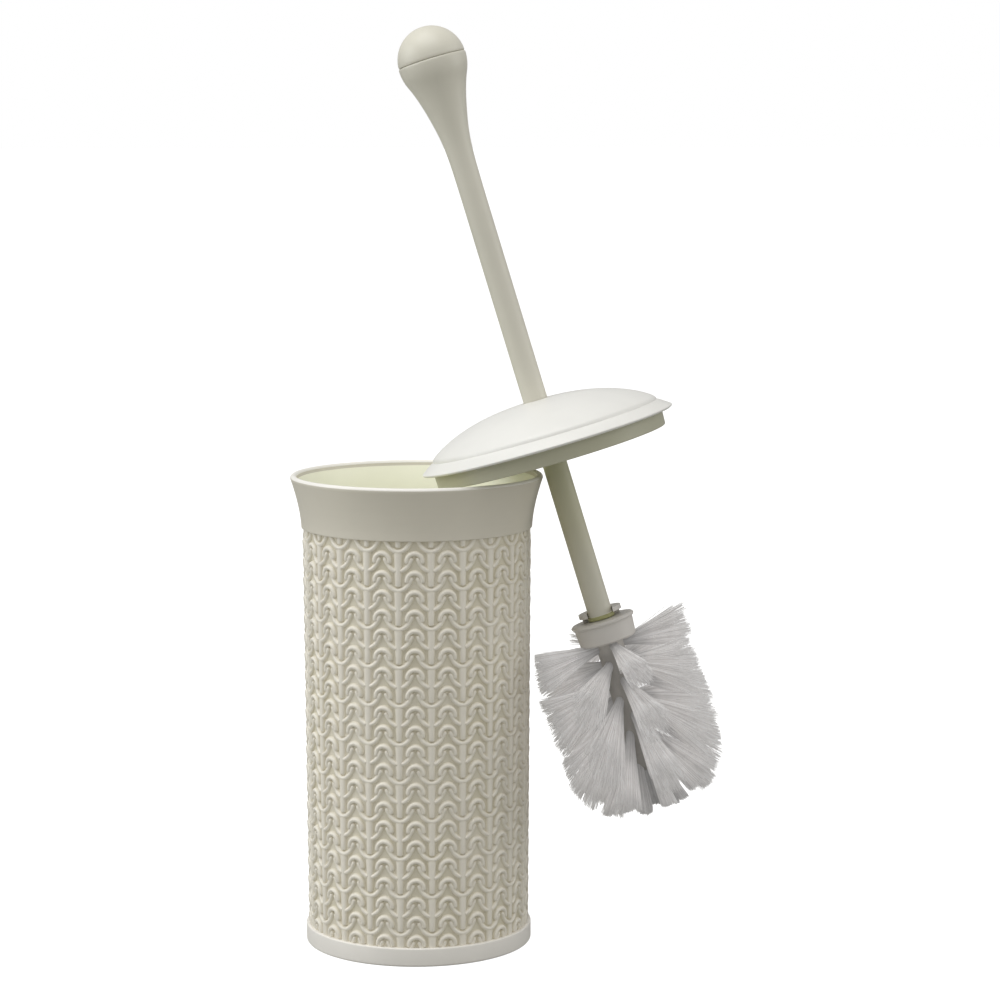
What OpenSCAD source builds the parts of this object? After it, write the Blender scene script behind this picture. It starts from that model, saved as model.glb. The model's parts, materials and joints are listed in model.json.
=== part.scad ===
// Toilet brush with a lidded handle, hung by its lid over the rim of its
// canister. Millimetres, +Z up. The origin is the centre of the canister's
// flat base, on the floor. The canister's axis is +Z.

/* [Canister] */
// Overall height of the canister
can_h = 225.5; // [200:0.5:260]
// Outer radius of the flared rim
rim_r = 60; // [58:0.1:64]
// Outer radius of the patterned wall just under the collar
wall_top_r = 54.6; // [52:0.1:56]
// Outer radius of the patterned wall just above the base band
wall_bot_r = 53.2; // [52:0.1:54]
// Height at which the smooth flared collar starts
collar_z = 200.4; // [180:0.1:205]
// Wall thickness under the pattern
wall_t = 3; // [2:0.1:4]
// Thickness of the rounded rim
rim_t = 3; // [2:0.1:4]

/* [Base] */
// Outer radius of the smooth base band
base_r = 54.1; // [53.5:0.1:58]
// Height of the smooth base band
base_h = 8.8; // [6:0.1:12]
// Thickness of the floor
floor_t = 2.4; // [1.5:0.1:4]
// Height of the spigot that stands inside the wall
spigot_h = 8; // [5:0.5:15]

/* [Handle] */
// Radius of the stem
stem_r = 5.83; // [5:0.01:7]
// Height of the ball's seam above the lid's rim plane
seam_h = 185.2; // [160:0.2:220]
// Radius of the ball-shaped end cap
ball_r = 16; // [14:0.1:20]
// Radius of the stem's hollow core
stem_bore_r = 3.6; // [2:0.1:4]

/* [Lid] */
// Radius of the lid's rim
lid_r = 61; // [59:0.1:64]
// Radius of the raised dome, at its step
dome_r = 54.6; // [48:0.1:55]
// Height of the dome's top above the rim plane
dome_h = 19.5; // [14:0.1:30]
// Radius of the skirt that drops into the canister's mouth
skirt_r = 55.8; // [50:0.1:56]
// Depth of the skirt below the rim plane
skirt_d = 8; // [5:0.1:12]
// Wall thickness of the lid
lid_t = 1.8; // [1.2:0.1:2.5]

/* [Brush head] */
// Radius of the head's top flange
flange_r = 15.2; // [13:0.1:18]
// Depth of the flange's top face below the lid's rim plane
flange_d = 88.6; // [80:0.1:110]
// Radius of the core that carries the tufts
core_r = 6.6; // [6.4:0.1:7]
// Number of tufts in each ring
tufts = 4; // [3:1:4]
// Radius of a tuft hole
hole_r = 2; // [1.5:0.1:2.1]
// Radius of the trimmed bristles
bristle_r = 38; // [34:0.1:39]

/* [Pose] */
// Tilt that the loose lid gives back on the stem as it rests, degrees
play = 0.79; // [0:0.01:0.9]
// Sideways tilt of the hung brush, degrees
tilt = 16.92; // [14:0.01:18]
// Backward lean of the hung brush, degrees
lean = 2.4; // [0:0.1:3]
// Sideways place of the lid's centre
hang_x = 61.9; // [61:0.1:66]
// Front-to-back place of the lid's centre
hang_y = -10; // [-12:0.5:-6]
// Height of the lid's rim plane at its centre
hang_z = 242.6; // [242:0.1:260]

/* [Hidden] */
$fn = 96;
RINGS = 7;
cream = [0.86, 0.85, 0.77];
ivory = [0.90, 0.89, 0.86];
white = [0.90, 0.90, 0.91];
bristle = [0.84, 0.84, 0.86];
steel = [0.70, 0.70, 0.72];

// canister: the collar flares outward with height
function flare(t) = pow(t, 1.6);
collar_r = wall_top_r + 0.3;
function collar_out(t) = collar_r + (rim_r - collar_r) * flare(t);
wall_in_top = wall_top_r - wall_t;
wall_in_bot = wall_bot_r - wall_t;
inner_z = base_h;
can_lip = can_h - rim_t / 2;

// lid: flattened dome between the bore and the step
bore_r = stem_r + 0.35;
bore_mid = 9.2;
step_h = 5.4;
function dome(r, R, top, foot) = foot + (top - foot) * pow(1 - pow(r / R, 2.4), 0.85);
hub_r = 9;

// handle: flare under the ball, [height above the lid's rim plane, radius]
FLARE = [[117, 0], [125, 0.05], [133, 0.15], [139, 0.35], [144.8, 0.75], [149.8, 1.4],
         [154.2, 2.2], [158.6, 3.15], [162.6, 4.1], [166.5, 5.15], [170.5, 6.4], [174, 7.7],
         [177, 8.95], [179.5, 9.75], [182, 10.2], [184, 10.35]];
foot_r = 6.45;
foot_t = 1.9;
foot_z = -flange_d + 0.25;

// head: ring heights, and the places on the trimmed outline that tufts aim at
body_z = -flange_d - 11;
ring_top = body_z - 2.3;
ring_pitch = 8.75;
function ring_z(k) = ring_top - ring_pitch * (k - 1);
core_end = ring_z(RINGS) - 9;
// rings alternate between two sets of columns
function ring_az(k, i) = -75 - (k % 2 == 1 ? 0 : 180 / tufts) + i * 360 / tufts;
hole_d = 4.1;
// the core swells at its end, where the end tufts stand close together
bulb_r = 8;
// downward slope of each ring's tufts, and of the two end groups
SLOPE = [9, 15, 22, 31, 40, 50, 60, 71, 90];
corner_r = 27;
bottom_z = -181.4;
// distance from a point (r, z), along a slope, to the trimmed outline, which
// is a cylinder of radius bristle_r with a rounded lower corner
function inside(r, z) =
    r <= bristle_r && z >= bottom_z
    && (z > bottom_z + corner_r || r < bristle_r - corner_r
        || pow(r - (bristle_r - corner_r), 2) + pow(z - (bottom_z + corner_r), 2) <= corner_r * corner_r);
function reach(r, z, a, d = 1) =
    inside(r + d * cos(a), z - d * sin(a)) ? reach(r, z, a, d + 0.25) : d;

module place() {
    translate([hang_x, hang_y, hang_z]) rotate([0, -tilt, 0]) rotate([-lean, 0, 0]) children();
}

module place_lid() {
    place() translate([0, 0, bore_mid]) rotate([0, play, 0]) translate([0, 0, -bore_mid]) children();
}

// Tapered tube with a flared, round-lipped collar
module canister_shell() color(cream) {
    rotate_extrude() polygon(concat(
        [[wall_in_bot, inner_z], [wall_bot_r - 0.3, inner_z], [wall_bot_r, inner_z + 0.3],
         [wall_top_r, collar_z], [collar_r, collar_z]],
        [for (i = [1:14]) [collar_out(i / 14), collar_z + (can_lip - collar_z) * i / 14]],
        [for (i = [1:7]) [rim_r - rim_t / 2 + rim_t / 2 * cos(i * 22.5), can_lip + rim_t / 2 * sin(i * 22.5)]],
        [for (i = [14:-1:0]) [collar_out(i / 14) - wall_t - 0.3 + 0.3 * i / 14,
                              collar_z + (can_lip - collar_z) * i / 14]],
        [[wall_in_bot + 0.05, inner_z + 5.4], [wall_in_bot + 0.6, inner_z + 5],
         [wall_in_bot + 0.6, inner_z + 4], [wall_in_bot, inner_z + 3.6]]));
}

// Floor, smooth outer band and the spigot that snaps into the wall
module base_cap() color(cream) {
    rotate_extrude() polygon([
        [0, 0], [base_r - 1.2, 0], [base_r - 0.35, 0.35], [base_r, 1.2],
        [base_r, base_h - 0.5], [base_r - 0.15, base_h - 0.15], [base_r - 0.5, base_h],
        [wall_in_bot - 0.1, base_h], [wall_in_bot - 0.1, base_h + 3.9],
        [wall_in_bot + 0.35, base_h + 4.2], [wall_in_bot + 0.35, base_h + 4.7],
        [wall_in_bot - 0.1, base_h + 5.2], [wall_in_bot - 0.1, base_h + spigot_h - 0.6],
        [wall_in_bot - 0.7, base_h + spigot_h], [wall_in_bot - 1.8, base_h + spigot_h],
        [wall_in_bot - 1.8, floor_t + 3], [wall_in_bot - 4.8, floor_t], [0, floor_t]]);
}

// Hollow stem with a drop-shaped grip, a snap bead for the lid and a foot
module handle_stem() color(cream) place() {
    difference() {
        rotate_extrude() polygon(concat(
            [[0, foot_z], [foot_r - 0.3, foot_z], [foot_r, foot_z + 0.3], [foot_r, foot_z + foot_t - 0.3],
             [foot_r - 0.3, foot_z + foot_t], [stem_r, foot_z + foot_t],
             [stem_r, 5.5], [stem_r + 0.6, 6.1], [stem_r + 0.6, 6.7], [stem_r, 7.3]],
            [for (p = FLARE) [stem_r + p[1], p[0]]],
            [[stem_r + 10.3, seam_h - 0.3], [stem_r + 9.9, seam_h], [0, seam_h]]));
        // open mouth of the grip, and the core behind it
        translate([0, 0, foot_z + 9]) cylinder(h = seam_h, r = stem_bore_r);
        rotate_extrude() polygon([[0, seam_h - 36], [stem_bore_r, seam_h - 36], [stem_bore_r + 1.4, seam_h - 26], [stem_bore_r + 4.5, seam_h - 16],
            [stem_bore_r + 8.1, seam_h - 8.4], [ball_r - 3, seam_h - 4.6], [ball_r - 2.5, seam_h - 4.2],
            [ball_r - 2.5, seam_h - 3], [ball_r - 3, seam_h - 2.6], [ball_r - 3, seam_h + 1], [0, seam_h + 1]]);
    }
}

// Half-ball end cap with a plug that snaps into the grip
module handle_cap() color(cream) place() {
    rotate_extrude() polygon(concat(
        [[ball_r - 5, seam_h - 5.6], [ball_r - 3.7, seam_h - 5.6], [ball_r - 3.1, seam_h - 5],
         [ball_r - 3.1, seam_h - 4.5], [ball_r - 2.7, seam_h - 4.1], [ball_r - 2.7, seam_h - 3.1], [ball_r - 3.1, seam_h - 2.7],
         [ball_r - 3.1, seam_h], [ball_r - 0.7, seam_h], [ball_r - 0.2, seam_h + 0.45]],
        [for (a = [5:5:90]) [ball_r * cos(a), seam_h + ball_r * sin(a)]],
        [for (a = [90:-10:0]) [(ball_r - 2) * cos(a) - (a < 10 ? 3 : 0), seam_h + (ball_r - 2) * sin(a) * (a < 10 ? 0 : 1)]]));
}

// Shallow domed lid: step, overhanging rim, skirt and a hub round the stem
module lid() color(ivory) place_lid() {
    rotate_extrude() polygon(concat(
        [[bore_r, -1.6], [bore_r, 5.2], [bore_r + 0.6, 5.8], [bore_r + 0.6, 7], [bore_r, 7.6],
         [bore_r, dome_h - 0.25]],
        [for (r = [bore_r + 0.3, 10, 15, 20, 25, 29, 33, 36.5, 40, 43, 46, 48.5, 50.5, 52, 53.1, 53.8]) [r, dome(r, dome_r + 0.1, dome_h, step_h)]],
        [[dome_r, step_h - 0.2], [dome_r, 4.35], [dome_r + 0.5, 4.25], [dome_r + 2, 3.5], [dome_r + 3.8, 2.2],
         [dome_r + 5.3, 1.15], [lid_r - 0.35, 0.65], [lid_r, 0.1], [lid_r - 0.15, -0.45], [lid_r - 0.6, -0.75],
         [skirt_r + 0.3, -0.9], [skirt_r, -1.2], [skirt_r - 0.25, -skirt_d + 0.6], [skirt_r - 0.85, -skirt_d],
         [skirt_r - 1.5, -skirt_d], [skirt_r - 2, -skirt_d + 0.5], [skirt_r - 1.9, -1]],
        [for (r = [52.5, 51, 49, 46, 42, 37, 31, 24, 17, hub_r + 0.6]) [r, dome(r, dome_r + 0.1, dome_h, step_h) - lid_t - (r > 45 ? (r - 45) * 0.18 : 0)]],
        [[hub_r, dome_h - lid_t - 0.9], [hub_r - 0.3, -1.6]]));
}

// slot plate that holds the stem's foot down on the flange
ear_r = 10.3;
ear_t = 2.1;
ear_z = foot_z + foot_t + 0.35;
slot_w = 2 * stem_r + 0.7;
bay_w = 2 * foot_r + 0.7;

// Moulded head: flange, slotted foot holder, collar and drilled core
module brush_core() color(white) place() {
    difference() {
        union() {
            rotate_extrude() polygon([
                [0, core_end], [3.4, core_end], [6, core_end + 0.9], [7.5, core_end + 2.6], [bulb_r, core_end + 5],
                [bulb_r - 0.2, core_end + 9.5], [bulb_r - 1.4, core_end + 13], [core_r, core_end + 15.5],
                [core_r, body_z], [12.6, body_z], [13.6, body_z + 0.8], [flange_r - 1, -flange_d - 2],
                [flange_r - 0.4, -flange_d - 1.8], [flange_r, -flange_d - 1.3], [flange_r, -flange_d - 0.6],
                [flange_r - 0.6, -flange_d], [0, -flange_d]]);
            // round ear plate and the wall behind the foot that carries it
            intersection() {
                union() {
                    translate([0, 0, ear_z]) cylinder(h = ear_t, r = ear_r);
                    difference() {
                        translate([0, 0, -flange_d - 0.5]) cylinder(h = ear_z + flange_d + 1, r = ear_r - 0.6);
                        translate([-20, -40, -flange_d - 1]) cube([40, 40 + foot_r * 0.55, 12]);
                    }
                }
                translate([0, 1.2, -flange_d - 1]) cylinder(h = 12, r = ear_r + 0.2);
            }
        }
        // slot for the stem, and the bay for its foot, both open at the front
        translate([0, 0, ear_z - 1]) cylinder(h = ear_t + 2, r = slot_w / 2);
        translate([-slot_w / 2, -20, ear_z - 1]) cube([slot_w, 20, ear_t + 2]);
        translate([0, 0, -flange_d]) cylinder(h = ear_z + flange_d, r = bay_w / 2);
        translate([-bay_w / 2, -20, -flange_d]) cube([bay_w, 20, ear_z + flange_d]);
        // blind holes for the tufts
        for (k = [1:RINGS]) ring(k) hole();
        end_ring() hole();
        end_centre() hole();
    }
}

function root_r(k) = k < RINGS ? core_r : bulb_r - 0.4;
// tuft positions: each child is drawn from the core's surface along +Z
module at_tuft(r, z, a, s) rotate([0, 0, a]) translate([r, 0, z]) rotate([0, 90 + s, 0]) children();
module ring(k) for (i = [0:tufts - 1])
    at_tuft(root_r(k), ring_z(k), ring_az(k, i), SLOPE[k - 1]) children();
module end_ring() for (i = [0:tufts - 1])
    at_tuft(6.6, core_end + 2.4, ring_az(RINGS + 1, i), SLOPE[RINGS]) children();
module end_centre() translate([0, 0, core_end]) rotate([180, 0, 0]) children();

module hole() translate([0, 0, -hole_d]) cylinder(h = hole_d + 3, r = hole_r, $fn = 32);
// bristles splay from the hole to the trimmed end
module tuft(len, tip_r) difference() {
    rotate_extrude($fn = 32) polygon([[0, -hole_d + 0.15], [hole_r - 0.1, -hole_d + 0.15], [hole_r - 0.1, min(7, len / 3)], [tip_r, len - 0.8], [tip_r - 1.2, len], [0, len]]);
    translate([-hole_r, -0.45, -hole_d]) cube([2 * hole_r, 0.9, 1.6]);
}
module anchor() translate([-1.6, -0.25, -hole_d + 0.1]) cube([3.2, 0.5, 1.3]);
function ring_len(k) = reach(root_r(k), ring_z(k), SLOPE[k - 1]) - (k == 1 ? 1.5 : 0);
TIP = [6.4, 7, 7, 7, 6.8, 6.2, 5, 3.4, 3];
module tuft_ring(k) color(bristle) place() ring(k) tuft(ring_len(k), TIP[k - 1]);

module tuft_end_ring() color(bristle) place() end_ring() tuft(reach(6.6, core_end + 2.4, SLOPE[RINGS]), TIP[RINGS]);
module tuft_end_centre() color(bristle) place() end_centre() tuft(core_end - bottom_z, TIP[RINGS + 1]);

// Flat wire anchors, one folded into the root of every tuft
module tuft_anchors() color(steel) place() {
    for (k = [1:RINGS]) ring(k) anchor();
    end_ring() anchor();
    end_centre() anchor();
}

canister_shell();
base_cap();
handle_stem();
handle_cap();
lid();
brush_core();
tuft_ring(1);  // tuft_ring_1
tuft_ring(2);  // tuft_ring_2
tuft_ring(3);  // tuft_ring_3
tuft_ring(4);  // tuft_ring_4
tuft_ring(5);  // tuft_ring_5
tuft_ring(6);  // tuft_ring_6
tuft_ring(7);  // tuft_ring_7
tuft_end_ring();
tuft_end_centre();
tuft_anchors();
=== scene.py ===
import json
import math

import bmesh
import bpy
import numpy as np
from mathutils import Matrix, Vector


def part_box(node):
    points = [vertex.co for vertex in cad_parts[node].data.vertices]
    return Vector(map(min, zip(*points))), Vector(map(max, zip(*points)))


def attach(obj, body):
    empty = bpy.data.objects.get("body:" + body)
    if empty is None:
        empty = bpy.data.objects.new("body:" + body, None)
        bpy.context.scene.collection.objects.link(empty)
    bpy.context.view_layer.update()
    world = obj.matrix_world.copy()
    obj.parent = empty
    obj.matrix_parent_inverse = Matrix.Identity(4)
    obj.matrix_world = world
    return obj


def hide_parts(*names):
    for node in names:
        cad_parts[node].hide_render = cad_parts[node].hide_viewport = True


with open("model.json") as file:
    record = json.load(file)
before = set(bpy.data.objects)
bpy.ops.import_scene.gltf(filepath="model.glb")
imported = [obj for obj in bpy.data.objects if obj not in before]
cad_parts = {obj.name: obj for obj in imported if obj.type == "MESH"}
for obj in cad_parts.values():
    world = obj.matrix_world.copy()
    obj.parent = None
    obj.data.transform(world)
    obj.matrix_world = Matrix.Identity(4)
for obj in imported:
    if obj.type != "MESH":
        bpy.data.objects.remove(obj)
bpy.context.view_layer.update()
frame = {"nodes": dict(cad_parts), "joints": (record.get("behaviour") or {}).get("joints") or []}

MM = 0.001
rng = np.random.default_rng(20261)

# ------------------------------------------------------------------ frame
JOINT = {j["name"]: j for j in frame["joints"]}
BORE_MID = 9.2                                              # height of the lid's bearing on the stem, mm
PLAY = math.radians(0.79)                                   # the lid leans on the stem by this much
PB = Vector(JOINT["lid_turn"]["pos_m"])
N_LID = Vector(JOINT["lid_turn"]["axis"]).normalized()      # along the lid's own axis, upwards
V_AX = Vector(JOINT["head_release"]["axis"])
V_AX = (V_AX - V_AX.dot(N_LID) * N_LID).normalized()
U_LID = V_AX.cross(N_LID).normalized()
N_AX = (N_LID * math.cos(PLAY) - U_LID * math.sin(PLAY)).normalized()      # along the handle, upwards
U_AX = V_AX.cross(N_AX).normalized()
P0 = PB - N_AX * BORE_MID * MM
P0_LID = PB - N_LID * BORE_MID * MM
BRUSH = np.array([[U_AX[i], V_AX[i], N_AX[i], P0[i]] for i in range(3)])
LIDF = np.array([[U_LID[i], V_AX[i], N_LID[i], P0_LID[i]] for i in range(3)])


def brush_to_world(p):
    """Points in millimetres in the brush's own frame (u, v, h) to metres in the row frame."""
    p = np.asarray(p, float) * MM
    return p @ BRUSH[:, :3].T + BRUSH[:, 3]


def lid_to_world(p):
    p = np.asarray(p, float) * MM
    return p @ LIDF[:, :3].T + LIDF[:, 3]


def can_to_world(p):
    return np.asarray(p, float) * MM


shell_lo, shell_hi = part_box("canister_shell")
RIM_R = shell_hi.x / MM                 # 60
CAN_H = shell_hi.z / MM                 # 225.5
base_lo, base_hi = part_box("base_cap")
BASE_R = base_hi.x / MM                 # 54.1
BASE_H = shell_lo.z / MM                # 8.8
COLLAR_Z = 200.4
CREST_TOP, CREST_BOT = 54.6, 53.2       # radius of the pattern's crests
RELIEF = 1.75                           # depth of the ground below the crests
WALL_IN_BOT, WALL_IN_TOP = 50.2, 51.6


def crest(z):
    return CREST_BOT + (CREST_TOP - CREST_BOT) * (np.asarray(z, float) - BASE_H) / (COLLAR_Z - BASE_H)


# ------------------------------------------------------------------ meshes
def make(name, verts, faces, mat, sharp=38.0):
    me = bpy.data.meshes.new(name)
    me.from_pydata([tuple(v) for v in verts], [], faces)
    me.update()
    bm = bmesh.new()
    bm.from_mesh(me)
    bmesh.ops.recalc_face_normals(bm, faces=bm.faces[:])
    bm.to_mesh(me)
    bm.free()
    me.polygons.foreach_set("use_smooth", [True] * len(me.polygons))
    me.set_sharp_from_angle(angle=math.radians(sharp))
    me.materials.append(mat)
    ob = bpy.data.objects.new(name, me)
    bpy.context.scene.collection.objects.link(ob)
    return ob


def lathe(name, prof, mat, seg=192, to_world=can_to_world, sharp=38.0):
    """Closed turned solid from a profile of (radius, height) in millimetres."""
    verts, rows = [], []
    ang = np.arange(seg) * 2 * math.pi / seg
    ca, sa = np.cos(ang), np.sin(ang)
    for r, z in prof:
        if r < 1e-6:
            rows.append([len(verts)])
            verts.append((0.0, 0.0, z))
        else:
            rows.append(list(range(len(verts), len(verts) + seg)))
            verts.extend(zip(r * ca, r * sa, [z] * seg))
    faces = []
    for a, b in zip(rows, rows[1:] + rows[:1]):
        if len(a) == 1 and len(b) == 1:
            continue
        for k in range(seg):
            k2 = (k + 1) % seg
            if len(a) == 1:
                faces.append((a[0], b[k2], b[k]))
            elif len(b) == 1:
                faces.append((a[k], a[k2], b[0]))
            else:
                faces.append((a[k], a[k2], b[k2], b[k]))
    return make(name, to_world(np.array(verts)), faces, mat, sharp)


def arc(cx, cz, r, a0, a1, n):
    return [(cx + r * math.cos(math.radians(a0 + (a1 - a0) * i / n)),
             cz + r * math.sin(math.radians(a0 + (a1 - a0) * i / n))) for i in range(n + 1)]


def smooth_curve(pts, per=6):
    """Catmull-Rom through the points."""
    p = np.array(pts, float)
    q = np.vstack([2 * p[0] - p[1], p, 2 * p[-1] - p[-2]])
    out = []
    for i in range(1, len(q) - 2):
        for k in range(per):
            t = k / per
            out.append(0.5 * ((2 * q[i]) + (q[i + 1] - q[i - 1]) * t
                              + (2 * q[i - 1] - 5 * q[i] + 4 * q[i + 1] - q[i + 2]) * t * t
                              + (3 * q[i] - q[i - 1] - 3 * q[i + 1] + q[i + 2]) * t ** 3))
    out.append(p[-1])
    return [tuple(o) for o in out]


# ------------------------------------------------------------------ materials
def nodes_of(name):
    mat = bpy.data.materials.new(name)
    mat.use_nodes = True
    nt = mat.node_tree
    nt.nodes.clear()
    out = nt.nodes.new("ShaderNodeOutputMaterial")
    sh = nt.nodes.new("ShaderNodeBsdfPrincipled")
    nt.links.new(sh.outputs[0], out.inputs[0])
    tc = nt.nodes.new("ShaderNodeTexCoord")
    return mat, nt, sh, tc


def noise(nt, tc, scale, detail=3.0, rough=0.55, stretch=None):
    n = nt.nodes.new("ShaderNodeTexNoise")
    n.inputs["Scale"].default_value = scale
    n.inputs["Detail"].default_value = detail
    n.inputs["Roughness"].default_value = rough
    if stretch:
        mp = nt.nodes.new("ShaderNodeMapping")
        mp.inputs["Scale"].default_value = stretch
        nt.links.new(tc.outputs["Object"], mp.inputs["Vector"])
        nt.links.new(mp.outputs["Vector"], n.inputs["Vector"])
    else:
        nt.links.new(tc.outputs["Object"], n.inputs["Vector"])
    return n


def ramp(nt, src, stops):
    r = nt.nodes.new("ShaderNodeValToRGB")
    el = r.color_ramp.elements
    while len(el) > 1:
        el.remove(el[-1])
    el[0].position, el[0].color = stops[0][0], (*stops[0][1], 1)
    for pos, col in stops[1:]:
        e = el.new(pos)
        e.color = (*col, 1)
    nt.links.new(src, r.inputs["Fac"])
    return r


def maprange(nt, src, a, b, c, d):
    m = nt.nodes.new("ShaderNodeMapRange")
    m.clamp = True
    m.inputs["From Min"].default_value = a
    m.inputs["From Max"].default_value = b
    m.inputs["To Min"].default_value = c
    m.inputs["To Max"].default_value = d
    nt.links.new(src, m.inputs["Value"])
    return m


def mixrgb(nt, fac, a, b, mode="MIX"):
    m = nt.nodes.new("ShaderNodeMix")
    m.data_type = "RGBA"
    m.blend_type = mode
    for sock, val in ((m.inputs[0], fac), (m.inputs[6], a), (m.inputs[7], b)):
        if isinstance(val, (int, float)):
            sock.default_value = val
        elif isinstance(val, tuple):
            sock.default_value = (*val, 1)
        else:
            nt.links.new(val, sock)
    return m.outputs[2]


def math_node(nt, op, a, b=None):
    m = nt.nodes.new("ShaderNodeMath")
    m.operation = op
    for sock, val in ((m.inputs[0], a), (m.inputs[1], b)):
        if val is None:
            continue
        if isinstance(val, (int, float)):
            sock.default_value = val
        else:
            nt.links.new(val, sock)
    return m.outputs[0]


def bumps(nt, tc, sh, layers):
    prev = None
    for scale, strength, dist, stretch in layers:
        n = noise(nt, tc, scale, 2.0, 0.5, stretch)
        b = nt.nodes.new("ShaderNodeBump")
        b.inputs["Strength"].default_value = strength
        b.inputs["Distance"].default_value = dist
        nt.links.new(n.outputs["Fac"], b.inputs["Height"])
        if prev is not None:
            nt.links.new(prev.outputs["Normal"], b.inputs["Normal"])
        prev = b
    nt.links.new(prev.outputs["Normal"], sh.inputs["Normal"])


def scaled(c, k):
    return tuple(min(1.0, x * k) for x in c)


def plastic(name, col, rough=(0.36, 0.46), fine=(1400, 0.10, 0.00004), wave=(38, 0.10, 0.0004),
            vary=0.035, spec=0.45, stretch=None):
    mat, nt, sh, tc = nodes_of(name)
    big = noise(nt, tc, 22, 3.0)
    cr = ramp(nt, big.outputs["Fac"], [(0.3, scaled(col, 1 - vary)), (0.7, scaled(col, 1 + vary * 0.6))])
    nt.links.new(cr.outputs["Color"], sh.inputs["Base Color"])
    rn = noise(nt, tc, 90, 3.0)
    mr = maprange(nt, rn.outputs["Fac"], 0.3, 0.7, rough[0], rough[1])
    nt.links.new(mr.outputs[0], sh.inputs["Roughness"])
    sh.inputs["Specular IOR Level"].default_value = spec
    bumps(nt, tc, sh, [(fine[0], fine[1], fine[2], None), (wave[0], wave[1], wave[2], stretch)])
    return mat


def knit_plastic(name, col, painted_shade):
    """Cream plastic whose recesses, judged by radius under the crest line, get painted shade."""
    mat, nt, sh, tc = nodes_of(name)
    sep = nt.nodes.new("ShaderNodeSeparateXYZ")
    nt.links.new(tc.outputs["Object"], sep.inputs[0])
    x2 = math_node(nt, "MULTIPLY", sep.outputs["X"], sep.outputs["X"])
    y2 = math_node(nt, "MULTIPLY", sep.outputs["Y"], sep.outputs["Y"])
    r = math_node(nt, "SQRT", math_node(nt, "ADD", x2, y2))
    env = maprange(nt, sep.outputs["Z"], BASE_H * MM, COLLAR_Z * MM, CREST_BOT * MM, CREST_TOP * MM)
    depth = math_node(nt, "SUBTRACT", env.outputs[0], r)
    fac = maprange(nt, depth, 0.0006, 0.0017, 0.0, 1.0)
    # only the patterned wall gets the painted recess shade, not the collar, the rim or the inside
    low = maprange(nt, sep.outputs["Z"], (COLLAR_Z - 0.4) * MM, (COLLAR_Z + 0.4) * MM, 1.0, 0.0)
    ring = maprange(nt, depth, 0.00195, 0.0022, 1.0, 0.0)
    f = math_node(nt, "MULTIPLY", math_node(nt, "MULTIPLY", fac.outputs[0], low.outputs[0]), ring.outputs[0])
    big = noise(nt, tc, 30, 3.0)
    patch = maprange(nt, big.outputs["Fac"], 0.35, 0.65, 0.35, 0.9)
    f = math_node(nt, "MULTIPLY", f, patch.outputs[0])
    cr = ramp(nt, big.outputs["Fac"], [(0.3, scaled(col, 0.97)), (0.7, scaled(col, 1.02))])
    nt.links.new(mixrgb(nt, f, cr.outputs["Color"], painted_shade), sh.inputs["Base Color"])
    rn = noise(nt, tc, 120, 3.0)
    mr = maprange(nt, rn.outputs["Fac"], 0.3, 0.7, 0.34, 0.46)
    nt.links.new(mr.outputs[0], sh.inputs["Roughness"])
    sh.inputs["Specular IOR Level"].default_value = 0.45
    bumps(nt, tc, sh, [(1300, 0.10, 0.00005, None), (60, 0.10, 0.0003, None)])
    return mat


CREAM = (0.735, 0.715, 0.595)
# the third colour is the painted shade in the knit's recesses
M_KNIT = knit_plastic("cream_knit_plastic", (0.87, 0.825, 0.72), (0.70, 0.65, 0.50))
# darker copy of the cream plastic for the collar and the rim's inner half: painted shade on the downward-facing flare
M_CAN_SHADED = plastic("cream_canister_painted_shade", (0.72, 0.68, 0.575), (0.36, 0.5), wave=(30, 0.16, 0.0003), stretch=(1, 1, 14))
# lighter copy of the cream plastic for the inside: painted light
M_IN_PAINTED_LIGHT = plastic("cream_inside_plastic_painted_glow", (0.95, 0.95, 0.78), (0.40, 0.5))
# painted shade: dark olive colour for the rod's foot, which sits in the shaded gap above the head
M_FOOT_SHADE = plastic("olive_foot_painted_shade", (0.42, 0.42, 0.20), (0.36, 0.46))
# painted glow: the inside emits faintly, though it is no lamp
nt_in = M_IN_PAINTED_LIGHT.node_tree
sh_in = next(x for x in nt_in.nodes if x.bl_idname == "ShaderNodeBsdfPrincipled")
sh_in.inputs["Emission Color"].default_value = (0.95, 0.95, 0.76, 1)
sh_in.inputs["Emission Strength"].default_value = 0.06
M_STEM = plastic("cream_handle_plastic", (0.69, 0.665, 0.565), (0.34, 0.46), stretch=(1, 1, 0.2))
M_LID = plastic("ivory_lid_plastic", (0.83, 0.82, 0.775), (0.30, 0.42))
# painted shade: darker, olive copy of the lid plastic for its downward-facing skirt
M_SKIRT_SHADE = plastic("ivory_skirt_painted_shade", (0.52, 0.51, 0.38), (0.36, 0.46))
# painted highlight: lighter copy of the cream plastic for the rim's lip, where the top light catches it
M_RIM_HIGHLIGHT = plastic("cream_rim_painted_highlight", (0.93, 0.905, 0.84), (0.3, 0.42))
# lighter copy of the cream plastic for the base band: painted light from the floor's bounce
M_BASE_LIT = plastic("cream_base_plastic_painted_light", (0.91, 0.88, 0.82), (0.36, 0.5), wave=(30, 0.16, 0.0003), stretch=(1, 1, 14))
# darker copy of the white head plastic: painted shade between the tufts
M_CORE_SHADED = plastic("white_head_plastic_painted_shade", (0.66, 0.63, 0.585), (0.38, 0.5))


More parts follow.
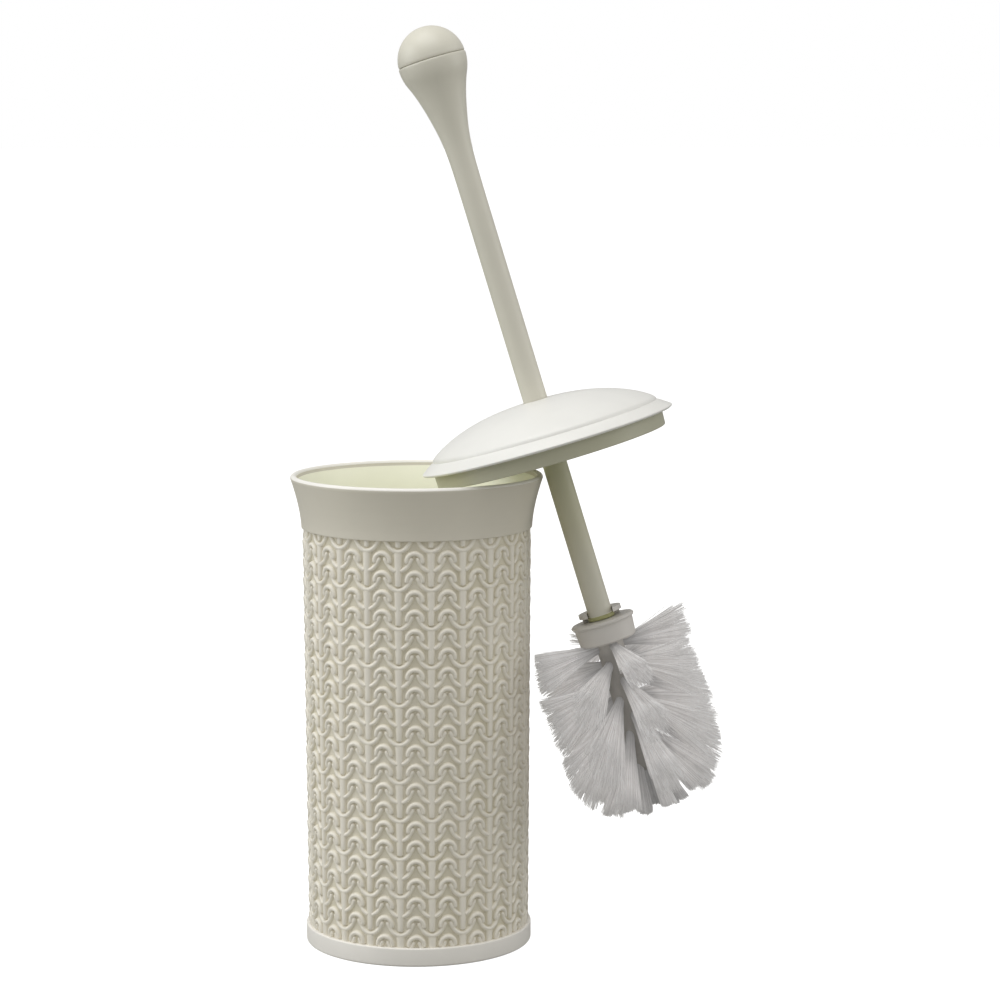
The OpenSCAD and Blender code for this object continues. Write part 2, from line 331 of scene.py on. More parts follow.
def shade_along(mat, stops):
    """Painted shade by height along the handle: (height in mm, tint) stops, lowest first."""
    nt = mat.node_tree
    sh = next(x for x in nt.nodes if x.bl_idname == "ShaderNodeBsdfPrincipled")
    tc = next(x for x in nt.nodes if x.bl_idname == "ShaderNodeTexCoord")
    off = nt.nodes.new("ShaderNodeVectorMath")
    off.operation = "SUBTRACT"
    nt.links.new(tc.outputs["Object"], off.inputs[0])
    off.inputs[1].default_value = tuple(P0)
    dot = nt.nodes.new("ShaderNodeVectorMath")
    dot.operation = "DOT_PRODUCT"
    nt.links.new(off.outputs[0], dot.inputs[0])
    dot.inputs[1].default_value = tuple(N_AX)
    lo, hi = stops[0][0], stops[-1][0]
    t = maprange(nt, dot.outputs["Value"], lo * MM, hi * MM, 0.0, 1.0)
    tint = ramp(nt, t.outputs[0], [((h - lo) / (hi - lo), c) for h, c in stops])
    col = sh.inputs["Base Color"].links[0].from_socket
    nt.links.new(mixrgb(nt, 1.0, col, tint.outputs["Color"], "MULTIPLY"), sh.inputs["Base Color"])


# painted shade: the slim part between the tufts is darkened as if in their shade, and the rod below the lid gets a
# painted olive shadow of the lid
shade_along(M_CORE_SHADED, [(-106, (0.62, 0.62, 0.62)), (-100, (1, 1, 1))])
shade_along(M_STEM, [(-88, (1, 1, 1)), (-66, (0.97, 0.97, 0.93)), (-42, (0.84, 0.84, 0.72)),
                     (-12, (0.77, 0.79, 0.62)), (0, (0.77, 0.79, 0.62)), (6, (1, 1, 1))])


def bristle_mat():
    """Thin milky filaments: light passes through them, and a painted glow keeps a bundle pale inside."""
    mat, nt, sh, tc = nodes_of("white_bristle_filament")
    geo = nt.nodes.new("ShaderNodeNewGeometry")
    island = geo.outputs["Random Per Island"]
    cr = ramp(nt, island, [(0.0, (0.74, 0.725, 0.715)), (0.5, (0.86, 0.845, 0.835)), (1.0, (0.97, 0.96, 0.955))])
    n = noise(nt, tc, 260, 2.0)
    tip = maprange(nt, n.outputs["Fac"], 0.3, 0.7, 0.93, 1.0)
    col = mixrgb(nt, 1.0, cr.outputs["Color"], tip.outputs[0], "MULTIPLY")
    # painted shade: the bundles are packed tight at their roots, so they are darkened near the core as if less light
    # got in
    off = nt.nodes.new("ShaderNodeVectorMath")
    off.operation = "SUBTRACT"
    nt.links.new(tc.outputs["Object"], off.inputs[0])
    off.inputs[1].default_value = tuple(P0)
    cross = nt.nodes.new("ShaderNodeVectorMath")
    cross.operation = "CROSS_PRODUCT"
    nt.links.new(off.outputs[0], cross.inputs[0])
    cross.inputs[1].default_value = tuple(N_AX)
    away = nt.nodes.new("ShaderNodeVectorMath")
    away.operation = "LENGTH"
    nt.links.new(cross.outputs[0], away.inputs[0])
    painted_shade = maprange(nt, away.outputs["Value"], 0.007, 0.021, 0.62, 1.0)
    col = mixrgb(nt, 1.0, col, painted_shade.outputs[0], "MULTIPLY")
    nt.links.new(col, sh.inputs["Base Color"])
    rn = maprange(nt, island, 0, 1, 0.35, 0.6)
    nt.links.new(rn.outputs[0], sh.inputs["Roughness"])
    sh.inputs["Specular IOR Level"].default_value = 0.35
    tr = nt.nodes.new("ShaderNodeBsdfTranslucent")
    nt.links.new(col, tr.inputs["Color"])
    mx = nt.nodes.new("ShaderNodeMixShader")
    mx.inputs[0].default_value = 0.25
    # painted glow standing in for light scattered many times inside the bundle
    nt.links.new(col, sh.inputs["Emission Color"])
    sh.inputs["Emission Strength"].default_value = 0.205
    out = next(x for x in nt.nodes if x.bl_idname == "ShaderNodeOutputMaterial")
    nt.links.new(sh.outputs[0], mx.inputs[1])
    nt.links.new(tr.outputs[0], mx.inputs[2])
    nt.links.new(mx.outputs[0], out.inputs[0])
    return mat


M_BRISTLE = bristle_mat()


def wire_mat():
    mat, nt, sh, tc = nodes_of("galvanised_anchor_wire")
    n = noise(nt, tc, 500, 3.0)
    cr = ramp(nt, n.outputs["Fac"], [(0.3, (0.42, 0.42, 0.44)), (0.7, (0.66, 0.66, 0.68))])
    nt.links.new(cr.outputs["Color"], sh.inputs["Base Color"])
    mr = maprange(nt, n.outputs["Fac"], 0.3, 0.7, 0.25, 0.45)
    nt.links.new(mr.outputs[0], sh.inputs["Roughness"])
    sh.inputs["Metallic"].default_value = 1.0
    return mat


M_WIRE = wire_mat()

# ------------------------------------------------------------------ canister wall
collar_r0 = CREST_TOP + 0.3
lip_r = 1.5
lip_z = CAN_H - lip_r


def collar_out(t):
    return collar_r0 + (RIM_R - collar_r0) * t ** 1.6


wall = []
wall += [(WALL_IN_BOT, BASE_H), (float(crest(BASE_H)) - RELIEF, BASE_H)]
wall += [(float(crest(z)) - RELIEF, z) for z in np.linspace(BASE_H + 2, COLLAR_Z - 0.6, 24)]
# root fillet under the collar, its rounded lower edge, then the flare
wall += arc(float(crest(COLLAR_Z)) - RELIEF + 0.45, COLLAR_Z - 0.45, 0.45, 180, 90, 3)
wall += arc(collar_r0 - 0.35, COLLAR_Z + 0.35, 0.35, -90, 0, 4)
wall += [(collar_out(t), COLLAR_Z + (lip_z - COLLAR_Z) * t) for t in np.linspace(0.05, 1, 24)]
wall += arc(RIM_R - lip_r, lip_z, lip_r, 12, 168, 14)
wall += [(collar_out(t) - 3.3 + 0.3 * t, COLLAR_Z + (lip_z - COLLAR_Z) * t) for t in np.linspace(1, 0, 24)]
wall += [(WALL_IN_BOT + (WALL_IN_TOP - WALL_IN_BOT) * t, BASE_H + 6 + (COLLAR_Z - BASE_H - 6) * t)
         for t in np.linspace(0.98, 0, 20)]
shell = lathe("canister_wall", wall, M_KNIT, seg=264)
# the inside takes a lighter copy of the plastic with a painted glow, the rim's lip a painted highlight, and the collar
# with the rim's inner half a darker copy for painted shade
shell.data.materials.append(M_CAN_SHADED)
shell.data.materials.append(M_IN_PAINTED_LIGHT)
shell.data.materials.append(M_RIM_HIGHLIGHT)
for p in shell.data.polygons:
    c = p.center
    r = math.hypot(c.x, c.y) / MM
    z = c.z / MM
    nr = (p.normal.x * c.x + p.normal.y * c.y) / (r * MM)
    # painted highlight on the rim's lip
    if z > CAN_H - 1.3:
        p.material_index = 3
    # painted shade: collar faces take the darker copy, inward faces the lighter inside copy
    elif z > COLLAR_Z - 0.2:
        p.material_index = 2 if (nr < -0.3 and z < CAN_H - 2.2) else 1
    elif nr < -0.3:
        p.material_index = 2

# ------------------------------------------------------------------ knit relief
COLS = 22
PITCH_S = 15.45                       # column pitch on the wall, mm
PER = 9.05                            # row pitch, mm
PHI0 = math.radians(0.3)
ANG = 2 * math.pi / COLS / PITCH_S    # radians per mm along the wall


def wall_point(s, z, h):
    """s along the wall, z up, h out from the pattern's ground, all mm, to world metres."""
    phi = PHI0 + s * ANG
    r = crest(z) - RELIEF + h
    return np.stack([r * np.sin(phi), -r * np.cos(phi), z], -1) * MM


def resample(path, step):
    p = np.array(path, float)
    d = np.r_[0, np.cumsum(np.hypot(*np.diff(p, axis=0).T))]
    n = max(2, int(round(d[-1] / step)) + 1)
    t = np.linspace(0, d[-1], n)
    return np.stack([np.interp(t, d, p[:, 0]), np.interp(t, d, p[:, 1])], 1)


SECTION = np.array([(-1.2, -0.2), (-1.02, 0.18), (-0.6, 0.78), (0, 1.0), (0.6, 0.78), (1.02, 0.18), (1.2, -0.2)])


def strand(path, width=1.0, height=1.1, step=0.75, ends=(True, True), lift=None, section=SECTION):
    """One raised strand along a path in (s, z). Returns template points (s, z, h) and faces."""
    p = resample(path, step)
    t = np.gradient(p, axis=0)
    t /= np.linalg.norm(t, axis=1)[:, None]
    rows = []
    n = len(p)
    lifts = np.ones(n) if lift is None else lift(np.linspace(0, 1, n))

    def add(c, tan, kw, kh):
        lat = np.array([-tan[1], tan[0]])
        pts = []
        for o, hh in section:
            q = c + lat * o * width * kw
            pts.append((q[0], q[1], hh * height * kh if hh > 0 else hh))
        rows.append(pts)

    cap = [(0.98, 0.12, 0.1), (0.86, 0.5, 0.42), (0.62, 0.78, 0.72), (0.33, 0.945, 0.93)]   # along, width, height
    w = 1.0 * width
    if ends[0]:
        for along, kw, kh in cap:
            add(p[0] - t[0] * w * along, t[0], kw, kh * lifts[0])
    for i in range(n):
        add(p[i], t[i], 1, lifts[i])
    if ends[1]:
        for along, kw, kh in reversed(cap):
            add(p[-1] + t[-1] * w * along, t[-1], kw, kh * lifts[-1])
    m = len(section)
    faces = []
    for a in range(len(rows) - 1):
        for k in range(m):
            k2 = (k + 1) % m
            faces.append((a * m + k, a * m + k2, (a + 1) * m + k2, (a + 1) * m + k))
    faces.append(tuple(range(m)))
    faces.append(tuple(range((len(rows) - 1) * m, len(rows) * m)))
    return np.array(rows, float).reshape(-1, 3), faces


def spread(name, templates, mat):
    """templates: list of (points, faces, [(s offset, z offset), ...]) placed at every column."""
    verts, faces, base = [], [], 0
    for pts, fcs, places in templates:
        for s0, z0 in places:
            for c in range(COLS):
                verts.append(wall_point(pts[:, 0] + s0 + c * PITCH_S, pts[:, 1] + z0, pts[:, 2]))
                faces.extend(tuple(i + base for i in f) for f in fcs)
                base += len(pts)
    ob = make(name, np.concatenate(verts), faces, mat, sharp=60)
    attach(ob, "canister")
    return ob


# inverted-U loops
ARCH = 3.68
loop_path = ([(-ARCH, -3.9)] + [(-ARCH * math.cos(a), -ARCH + ARCH * math.sin(a)) for a in np.linspace(0, math.pi, 25)]
             + [(ARCH, -3.9)])
lp, lf = strand(loop_path, width=1.24, height=1.74, step=0.8,
                lift=lambda t: 0.86 + 0.14 * np.sin(np.pi * t))
loops = spread("knit_loops", [(lp, lf, [(0, 104.3 + PER * j) for j in range(-10, 11)])], M_KNIT)

# hanging arcs between the loops
SMILE = [(0, 0), (0.75, 0.07), (1.48, .25), (2.13, 0.5), (2.73, .83), (3.25, 1.18), (3.73, 1.58), (4.19, 2.06), (4.6, 2.58),
         (5.0, 3.12), (5.35, 3.7), (5.69, 4.32), (5.98, 4.95), (6.25, 5.55)]
full_path = [(-x, z) for x, z in SMILE[:0:-1]] + SMILE


def dip(t):
    # the arms sink where they pass under the loops' legs
    a = np.abs(t - 0.5) * 2
    return 0.92 - 0.22 * np.exp(-((a - 0.72) / 0.12) ** 2) - 0.05 * a


sp, sf = strand(full_path, width=1.2, height=1.52, step=0.8, lift=dip)
arcs = spread("knit_arcs", [(sp, sf, [(PITCH_S / 2, 105.0 + 2 * PER * k) for k in range(-5, 6)])], M_KNIT)

# the same arcs, interrupted by the vertical bars
wing_r = [(1.15, 0.15)] + [q for q in SMILE if q[0] > 1.3]


def wing_lift(t):
    return 1.0 - 0.25 * np.exp(-((t - 0.62) / 0.16) ** 2) - 0.08 * t


wr, wf = strand(wing_r, width=1.14, height=1.46, step=0.8, ends=(False, True), lift=wing_lift)
wl = wr * np.array([-1, 1, 1])
wing_z = [105.0 + PER + 2 * PER * k for k in range(-5, 5)]
arm = [q for q in SMILE if q[0] > 4.4]
ar, af = strand(arm, width=1.12, height=1.35, step=0.8)
al = ar * np.array([-1, 1, 1])
z_low = 105.0 + PER + 2 * PER * -6
wings = spread("knit_wings", [(wr, wf, [(PITCH_S / 2, z) for z in wing_z]),
                              (wl, wf, [(PITCH_S / 2, z) for z in wing_z]),
                              (ar, af, [(PITCH_S / 2, z_low)]), (al, af, [(PITCH_S / 2, z_low)])], M_KNIT)


# vertical bars: wide below an arc, narrowing to a rounded foot above the next one
def bar(z_top, z_bot, w_top=1.9, w_bot=1.4, h=1.38, foot=True):
    rows, faces = [], []
    prof = [(-1.28, -0.2), (-1.08, 0.22), (-0.82, 0.72), (-0.45, 0.93), (0, 1.0), (0.45, 0.93), (0.82, 0.72), (1.08, 0.22), (1.28, -0.2)]
    zs = list(np.linspace(z_top, z_bot + (1.1 if foot else 0), 6))
    for z in zs:
        k = (z_top - z) / max(1e-6, z_top - z_bot)
        w = w_top + (w_bot - w_top) * k
        rows.append([(o * w, z, hh * h if hh > 0 else hh) for o, hh in prof])
    if foot:
        for along, kw, kh in [(0.33, 0.945, 0.93), (0.62, 0.78, 0.72), (0.86, 0.5, 0.42), (0.98, 0.14, 0.1)]:
            z = z_bot + 1.1 - 1.1 * along
            rows.append([(o * w_bot * kw, z, hh * h * kh if hh > 0 else hh) for o, hh in prof])
    m = len(prof)
    for a in range(len(rows) - 1):
        for k in range(m):
            k2 = (k + 1) % m
            faces.append((a * m + k, a * m + k2, (a + 1) * m + k2, (a + 1) * m + k))
    faces.append(tuple(range(m)))
    faces.append(tuple(range((len(rows) - 1) * m, len(rows) * m)))
    return np.array(rows, float).reshape(-1, 3), faces


b_mid, b_f = bar(-0.6, -2 * PER + 1.45)
b_top, bt_f = bar(COLLAR_Z + 1 - (105.0 + 10 * PER), 1.45, w_top=1.4, w_bot=1.3, h=1.2)
b_low, bl_f = bar(-0.6, -(105.0 - 10 * PER) + BASE_H - 1, w_top=1.9, w_bot=1.75, foot=False)
bars = spread("knit_bars", [(b_mid, b_f, [(PITCH_S / 2, 105.0 + 2 * PER * k) for k in range(-4, 6)]),
                            (b_top, bt_f, [(PITCH_S / 2, 105.0 + 10 * PER)]),
                            (b_low, bl_f, [(PITCH_S / 2, 105.0 - 10 * PER)])], M_KNIT)

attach(shell, "canister")
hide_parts("canister_shell")

# ------------------------------------------------------------------ base cap
wi = WALL_IN_BOT
base_prof = [(0, 0)] + arc(BASE_R - 1.2, 1.2, 1.2, -90, 0, 6) + arc(BASE_R - 0.5, BASE_H - 0.5, 0.5, 0, 90, 6) + [
    (wi - 0.1, BASE_H), (wi - 0.1, BASE_H + 3.9), (wi + 0.3, BASE_H + 4.2), (wi + 0.3, BASE_H + 4.7),
    (wi - 0.1, BASE_H + 5.2)] + arc(wi - 0.5, BASE_H + 7.6, 0.4, 0, 90, 3) + [
    (wi - 1.8, BASE_H + 8), (wi - 1.8, 6.4)] + arc(wi - 4.8, 5.4, 3.0, 0, -90, 6) + [(0, 2.4)]
base = lathe("base_band", base_prof, M_BASE_LIT, seg=264)
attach(base, "canister")
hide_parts("base_cap")

# ------------------------------------------------------------------ handle
STEM_R = 5.83
SEAM = 185.2
BALL = 16.0
flare = [(117, 0), (125, 0.05), (133, 0.15), (139, 0.35), (144.8, 0.75), (149.8, 1.4), (154.2, 2.2), (158.6, 3.15), (162.6, 4.1),
         (166.5, 5.15), (170.5, 6.4), (174, 7.7), (177, 8.95), (179.5, 9.75), (182, 10.2), (184, 10.35)]
outer = smooth_curve([(STEM_R + e, h) for h, e in flare], 4)
FOOT_Z = -88.35
stem_prof = ([(0, FOOT_Z)] + arc(6.45 - 0.35, FOOT_Z + 0.35, 0.35, -90, 0, 3) + arc(6.45 - 0.35, FOOT_Z + 1.55, 0.35, 0, 90, 3)
             + [(STEM_R + 0.1, FOOT_Z + 1.95), (STEM_R, FOOT_Z + 2.15)]
             + [(STEM_R, h) for h in np.linspace(-80, 5.0, 10)]
             + [(STEM_R, 5.5), (STEM_R + 0.3, 5.8), (STEM_R + 0.55, 6.15), (STEM_R + 0.55, 6.65), (STEM_R + 0.3, 7.0), (STEM_R, 7.3)]
             + [(STEM_R, h) for h in np.linspace(12, 112, 9)]
             + outer + arc(STEM_R + 10.35 - 0.5, SEAM - 0.55, 0.5, 20, 90, 5)
             + [(BALL - 3, SEAM - 0.05), (BALL - 3, SEAM - 2.6), (BALL - 2.5, SEAM - 3), (BALL - 2.5, SEAM - 4.2), (BALL - 3, SEAM - 4.6),
                (11.7, SEAM - 8.4), (8.1, SEAM - 16), (5, SEAM - 26), (3.6, SEAM - 36), (3.6, -79.2), (0, -79.4)])
stem = lathe("handle_rod", stem_prof, M_STEM, seg=128, to_world=brush_to_world)
stem.data.materials.append(M_FOOT_SHADE)
# painted shade on the foot band
for p in stem.data.polygons:
    if (p.center - P0).dot(N_AX) / MM < FOOT_Z + 1.9:
        p.material_index = 1
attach(stem, "brush")
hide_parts("handle_stem")

cap_prof = ([(BALL - 5, SEAM - 5.6), (BALL - 3.7, SEAM - 5.6), (BALL - 3.15, SEAM - 5), (BALL - 3.15, SEAM - 4.5), (BALL - 2.75, SEAM - 4.1),
             (BALL - 2.75, SEAM - 3.1), (BALL - 3.15, SEAM - 2.7), (BALL - 3.15, SEAM + 0.1)]
            + arc(BALL - 0.62, SEAM + 0.65, 0.55, -90, -8, 5)
            + [(BALL * math.cos(math.radians(a)), SEAM + BALL * math.sin(math.radians(a))) for a in np.linspace(4.5, 90, 40)]
            + [((BALL - 2) * math.cos(math.radians(a)), SEAM + (BALL - 2) * math.sin(math.radians(a))) for a in np.linspace(90, 12, 14)]
            + [(BALL - 5, SEAM)])
cap_prof = [(max(0.0, r) if abs(r) > 1e-6 else 0.0, z) for r, z in cap_prof]
cap = lathe("handle_ball_cap", cap_prof, M_STEM, seg=128, to_world=brush_to_world)
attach(cap, "brush")
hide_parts("handle_cap")

# ------------------------------------------------------------------ lid
LID_R, DOME_R, DOME_H, STEP_H, SKIRT_R, SKIRT_D = 61.0, 54.6, 19.5, 5.4, 55.8, 8.0


def dome(r):
    return STEP_H + (DOME_H - STEP_H) * max(0.0, 1 - (r / (DOME_R + 0.1)) ** 2.4) ** 0.85


bore = 6.18
lid_prof = ([(bore, -1.6), (bore, 5.2), (bore + 0.6, 5.8), (bore + 0.6, 7), (bore, 7.6), (bore, DOME_H - 0.5)]
            + arc(bore + 0.45, DOME_H - 0.5, 0.42, 180, 95, 4)
            + [(r, dome(r)) for r in list(np.linspace(bore + 1.2, 44, 30)) + list(np.linspace(45, 52.4, 14)) + [53, 53.4, 53.7]]
            + [(DOME_R, STEP_H - 0.15), (DOME_R + 0.02, 4.75), (DOME_R + 0.1, 4.45), (DOME_R + 0.35, 4.3)]
            + smooth_curve([(DOME_R + 0.7, 4.17), (DOME_R + 2, 3.5), (DOME_R + 3.8, 2.25), (DOME_R + 5.2, 1.25), (LID_R - 0.45, 0.72)], 4)
            + arc(LID_R - 0.55, 0.12, 0.55, 62, -60, 8)
            + [(LID_R - 1.0, -0.75), (SKIRT_R + 0.6, -0.85), (SKIRT_R + 0.2, -1.0), (SKIRT_R, -1.3)]
            + [(SKIRT_R - 0.03 - 0.22 * t, -1.3 - (SKIRT_D - 2.1) * t) for t in np.linspace(0.1, 1, 6)]
            + arc(SKIRT_R - 0.25 - 0.7, -SKIRT_D + 0.7, 0.7, 0, -90, 5)
            + arc(SKIRT_R - 1.5, -SKIRT_D + 0.5, 0.5, -90, -180, 4) + [(SKIRT_R - 1.9, -1)]
            + [(r, dome(r) - 1.8 - (max(0, r - 45)) * 0.18) for r in [52.8, 52.5, 51.8, 51, 50, 49, 47.5, 46, 44, 42, 39.5, 37, 34, 31, 27, 24, 20, 17, 13, 9.6]]
            + [(9.1, DOME_H - 2.7), (9.0, DOME_H - 4), (8.7, -1.2), (8.3, -1.6)])
lid = lathe("lid_disc", lid_prof, M_LID, seg=224, to_world=lid_to_world)
# the skirt and the hollow below the rim take a darker, warmer copy: painted shade on the lid's underside
lid.data.materials.append(M_SKIRT_SHADE)
for p in lid.data.polygons:
    d = p.center - P0_LID
    h = d.dot(N_LID) / MM
    r = (d - d.dot(N_LID) * N_LID).length / MM
    if h < -0.8 or (r < SKIRT_R - 0.3 and p.normal.dot(N_LID) < -0.2):
        p.material_index = 1
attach(lid, "lid")
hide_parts("lid")

# ------------------------------------------------------------------ brush head
core = frame["nodes"]["brush_core"]
core.data.materials.clear()
core.data.materials.append(M_CORE_SHADED)
wires = frame["nodes"]["tuft_anchors"]
wires.data.materials.clear()
wires.data.materials.append(M_WIRE)

CORE_R, BULB_R, TUFTS, RPITCH = 6.6, 8.0, 4, 8.75
BODY_Z = -88.6 - 11
RING1 = BODY_Z - 2.3
CORE_END = RING1 - 6 * RPITCH - 9
SLOPE = [3, 9, 16, 26, 37, 48, 59, 72, 90]
DROOP = 20.0                            # the tufts at the front hang lower by this much
# half-spread of each tuft's fan at its tips: across, and along the core
ACROSS = [9.6, 10.2, 10.2, 9.8, 8.6, 5.8, 4.0, 3.1, 2.4]
ALONG = [9.0, 11.6, 12.0, 12.4, 10.8, 7.4, 4.6, 3.2, 2.4]
BR, BZ, CR = 38.4, -180.4, 27.0


def inside(r, z):
    if r > BR or z < BZ:
        return False
    if z > BZ + CR or r < BR - CR:
        return True
    return (r - (BR - CR)) ** 2 + (z - (BZ + CR)) ** 2 <= CR * CR


def reach(r, z, a):
    d = 1.0
    while inside(r + d * math.cos(a), z - d * math.sin(a)):
        d += 0.1
    return d


def tuft_places():
    """(node, root radius, height, azimuth, slope, fan) of every tuft, in the brush's frame."""
    for k in range(1, 8):
        for i in range(TUFTS):
            az = -75 - (0 if k % 2 == 1 else 45) + i * 90
            yield f"tuft_ring_{k}", CORE_R if k < 7 else BULB_R - 0.4, RING1 - RPITCH * (k - 1), az, k - 1
    for i in range(TUFTS):
        yield "tuft_end_ring", 6.6, CORE_END + 2.4, -120 + i * 90, 7
    yield "tuft_end_centre", 0.0, CORE_END, 0, 8


FIL_PER_TUFT = 520
SEGS = 5
FIL_R = 0.175


def filaments(r0, z0, az, g):
    """Filament centre lines of one tuft: (n, SEGS+1, 3) in the brush's frame."""
    a = math.radians(az)
    front = max(0.0, -math.sin(a)) ** 2.2 if g < 7 else 0.0
    sl = math.radians(SLOPE[g] + DROOP * front * (1 - g / 8))
    across = ACROSS[g] * (1 - 0.5 * front)
    along = ALONG[g] * (1 - 0.58 * front)
    radial = np.array([math.cos(a), math.sin(a), 0.0])
    d = radial * math.cos(sl) + np.array([0, 0, -1.0]) * math.sin(sl)
    side = np.array([-math.sin(a), math.cos(a), 0.0])
    up = np.cross(d, side)
    root = radial * r0 + np.array([0, 0, z0])
    n = FIL_PER_TUFT if g < 7 else FIL_PER_TUFT * 2 // 3
    # roots packed in the hole, tips splayed into a fan in the same polar order
    q = np.sqrt((np.arange(n) + 0.5) / n)
    th = np.arange(n) * 2.399963 + rng.uniform(0, 6.28)
    px, py = q * np.cos(th), q * np.sin(th)
    sq = 1 + 0.55 * (1 / np.maximum(np.abs(np.cos(th)), np.abs(np.sin(th))) - 1)
    clump = rng.uniform(-1, 1, (9, 2))
    near = np.argmin((px[:, None] - clump[:, 0]) ** 2 + (py[:, None] - clump[:, 1]) ** 2, axis=1)
    pull = rng.uniform(0.05, 0.42, n)
    tx = px * sq + (clump[near, 0] - px) * pull + rng.normal(0, 0.05, n)
    ty = py * sq + (clump[near, 1] - py) * pull + rng.normal(0, 0.05, n)
    stray = rng.random(n) < 0.05
    tx = np.where(stray, tx * 1.35, tx)
    ty = np.where(stray, ty * 1.25, ty)
    cut = rng.normal(0, 0.9, 9)[near]                      # clumps are trimmed a little unevenly
    out = np.zeros((n, SEGS + 1, 3))
    for i in range(n):
        st = root + side * px[i] * 1.8 + up * py[i] * 1.8
        aim = d * 32 + side * tx[i] * across + up * ty[i] * along
        aim /= np.linalg.norm(aim)
        L = 6.0
        while L < 60:
            pt = st + aim * L
            if not inside(math.hypot(pt[0], pt[1]), pt[2]):
                break
            L += 0.4
        L += cut[i] + rng.normal(0, 0.4) - (rng.random() < 0.14) * rng.uniform(0.8, 4.0)
        if g == 0:
            L -= 0.8
        tipp = st + aim * L + side * rng.normal(0, 0.25) + up * rng.normal(0, 0.25)
        ctrl = st + (d * 0.15 + aim * 0.85) * (L * 0.4)
        out[i, 0] = st - d * 3.5
        for k in range(1, SEGS + 1):
            tt = (k - 0.6) / (SEGS - 0.6)
            out[i, k] = (1 - tt) ** 2 * st + 2 * (1 - tt) * tt * ctrl + tt * tt * tipp
    return out


def tubes(paths, rad):
    """Three-sided closed tubes along the paths."""
    n, m, _ = paths.shape
    tan = np.gradient(paths, axis=1)
    tan /= np.linalg.norm(tan, axis=2)[..., None]
    ref = np.where(np.abs(tan[..., 2:3]) > 0.9, np.array([1.0, 0, 0]), np.array([0, 0, 1.0]))
    a = np.cross(tan, ref)
    a /= np.linalg.norm(a, axis=2)[..., None]
    b = np.cross(tan, a)
    verts = np.zeros((n, m, 3, 3))
    rr = np.ones(m) * rad
    rr[-1] *= 0.55
    for k in range(3):
        w = 2 * math.pi * k / 3
        verts[:, :, k] = paths + (a * math.cos(w) + b * math.sin(w)) * rr[None, :, None]
    faces = []
    for i in range(n):
        o = i * m * 3
        for j in range(m - 1):
            for k in range(3):
                k2 = (k + 1) % 3
                faces.append((o + j * 3 + k, o + j * 3 + k2, o + (j + 1) * 3 + k2, o + (j + 1) * 3 + k))
        faces.append((o, o + 1, o + 2))
        faces.append((o + (m - 1) * 3, o + (m - 1) * 3 + 1, o + (m - 1) * 3 + 2))
    return verts.reshape(-1, 3), faces


def keep_clear(w):
    """Points (world metres) stay out of the canister's wall, also while the head slides 24 mm back off the stem."""
    lim = 0.0557
    y = np.where(w[..., 1] < 0, np.minimum(w[..., 1] + 0.025, 0.0), w[..., 1])
    x = np.sqrt(np.maximum(lim ** 2 - y ** 2, 0.0))
    w[..., 0] = np.where(w[..., 2] < 0.2255, np.maximum(w[..., 0], x), w[..., 0])
    return w


by_node = {}
for node, r0, z0, az, g in tuft_places():
    by_node.setdefault(node, []).append(filaments(r0, z0, az, g))
for node, groups in by_node.items():
    paths = keep_clear(brush_to_world(np.concatenate(groups)))
    v, f = tubes(paths, FIL_R * MM)
    ob = make("bristles_" + node[5:], v, f, M_BRISTLE, sharp=180)
    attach(ob, "head")
    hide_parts(node)

# ------------------------------------------------------------------ stage, light, camera
scene = bpy.context.scene
scene.view_settings.view_transform = "Standard"
scene.view_settings.look = "None"

world = bpy.data.worlds.new("studio")
scene.world = world
world.use_nodes = True
wn = world.node_tree
wn.nodes.clear()
wo = wn.nodes.new("ShaderNodeOutputWorld")
bg_l = wn.nodes.new("ShaderNodeBackground")
bg_l.inputs["Color"].default_value = (1.0, 1.0, 1.0, 1)
bg_l.inputs["Strength"].default_value = 0.42
bg_c = wn.nodes.new("ShaderNodeBackground")
bg_c.inputs["Color"].default_value = (1, 1, 1, 1)
bg_c.inputs["Strength"].default_value = 1.0
lp_ = wn.nodes.new("ShaderNodeLightPath")
mx = wn.nodes.new("ShaderNodeMixShader")
wn.links.new(lp_.outputs["Is Camera Ray"], mx.inputs[0])
wn.links.new(bg_l.outputs[0], mx.inputs[1])
wn.links.new(bg_c.outputs[0], mx.inputs[2])
wn.links.new(mx.outputs[0], wo.inputs[0])

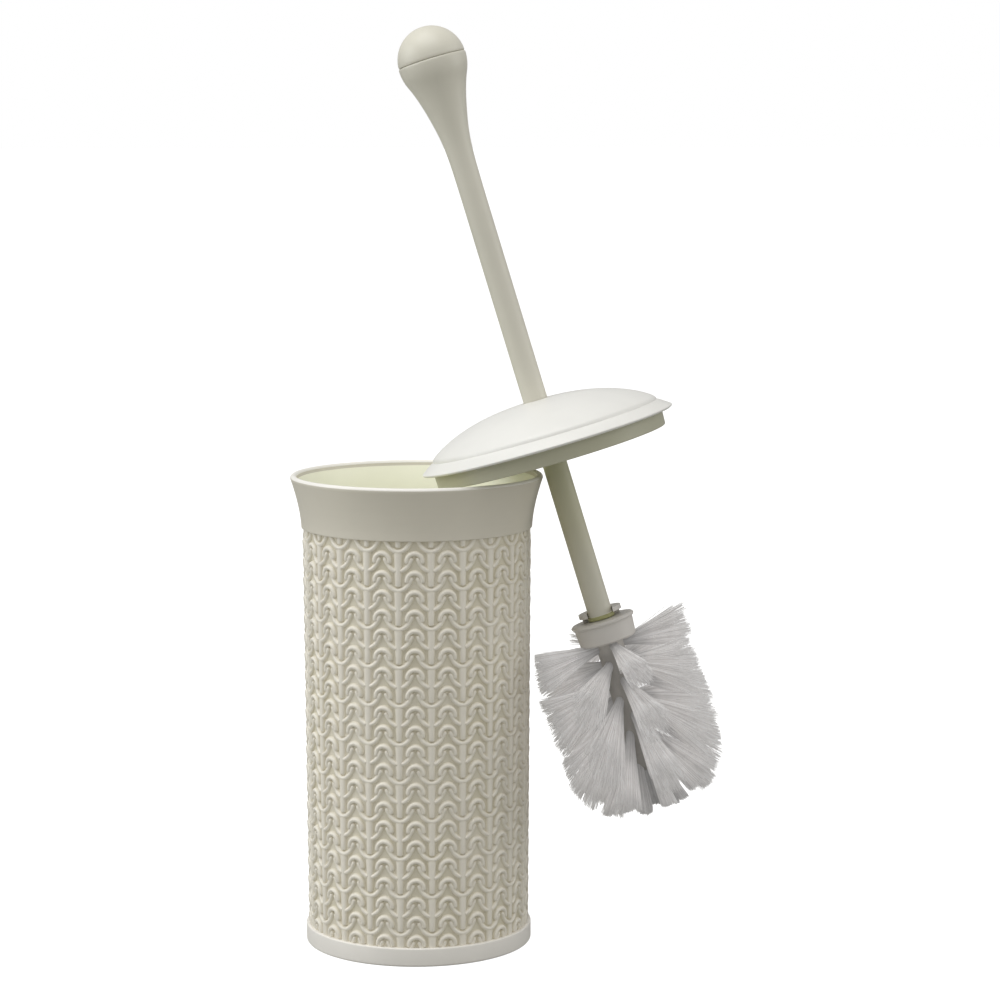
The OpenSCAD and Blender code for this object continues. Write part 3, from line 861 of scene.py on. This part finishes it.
fm = bpy.data.materials.new("studio_floor")
fm.use_nodes = True
ft = fm.node_tree
ft.nodes.clear()
fo = ft.nodes.new("ShaderNodeOutputMaterial")
fd = ft.nodes.new("ShaderNodeBsdfDiffuse")
fd.inputs["Color"].default_value = (0.40, 0.40, 0.38, 1)
fe = ft.nodes.new("ShaderNodeEmission")
fl = ft.nodes.new("ShaderNodeLightPath")
fmul = ft.nodes.new("ShaderNodeMath")
fmul.operation = "MULTIPLY"
fmul.inputs[1].default_value = 1.0
ft.links.new(fl.outputs["Is Camera Ray"], fmul.inputs[0])
ft.links.new(fmul.outputs[0], fe.inputs["Strength"])
fa = ft.nodes.new("ShaderNodeAddShader")
ft.links.new(fd.outputs[0], fa.inputs[0])
ft.links.new(fe.outputs[0], fa.inputs[1])
ft.links.new(fa.outputs[0], fo.inputs[0])
fme = bpy.data.meshes.new("floor")
R_F = 40.0
fv = [(R_F * math.cos(i * math.pi / 32), R_F * math.sin(i * math.pi / 32), -0.0001) for i in range(64)]
fme.from_pydata(fv, [], [tuple(range(64))])
fme.materials.append(fm)
floor = bpy.data.objects.new("floor", fme)
scene.collection.objects.link(floor)


def area(name, loc, target, size, power, color=(1, 1, 1)):
    li = bpy.data.lights.new(name, "AREA")
    li.shape = "RECTANGLE"
    li.size, li.size_y = size
    li.energy = power
    li.color = color
    ob = bpy.data.objects.new(name, li)
    ob.location = loc
    ob.rotation_euler = (Vector(target) - Vector(loc)).to_track_quat("-Z", "Y").to_euler()
    scene.collection.objects.link(ob)
    ob.visible_camera = False
    return ob


mid = (0.04, 0.0, 0.2)
area("key_top", (-0.3, -0.35, 1.8), mid, (1.6, 1.2), 15.5)
area("side_left", (-1.5, -0.2, 0.75), mid, (1.0, 1.2), 9.0, (0.95, 0.975, 1.0))
area("side_right", (1.6, -0.1, 0.8), mid, (1.0, 1.2), 5.0)
area("front_fill", (0.3, -1.9, 1.1), mid, (1.4, 1.0), 2.6)

cam_d = bpy.data.cameras.new("camera")
cam_d.sensor_fit = "HORIZONTAL"
cam_d.sensor_width = 36
cam_d.lens = 108
cam_d.clip_start = 0.01
cam_d.clip_end = 100
cam = bpy.data.objects.new("camera", cam_d)
cam.matrix_world = (Matrix.Translation((0.03953, -1.41415, 0.39207))
                    @ Matrix.Rotation(math.radians(90 - 7.2257), 4, "X")
                    @ Matrix.Rotation(-0.00129, 4, "Z"))
scene.collection.objects.link(cam)
scene.camera = cam
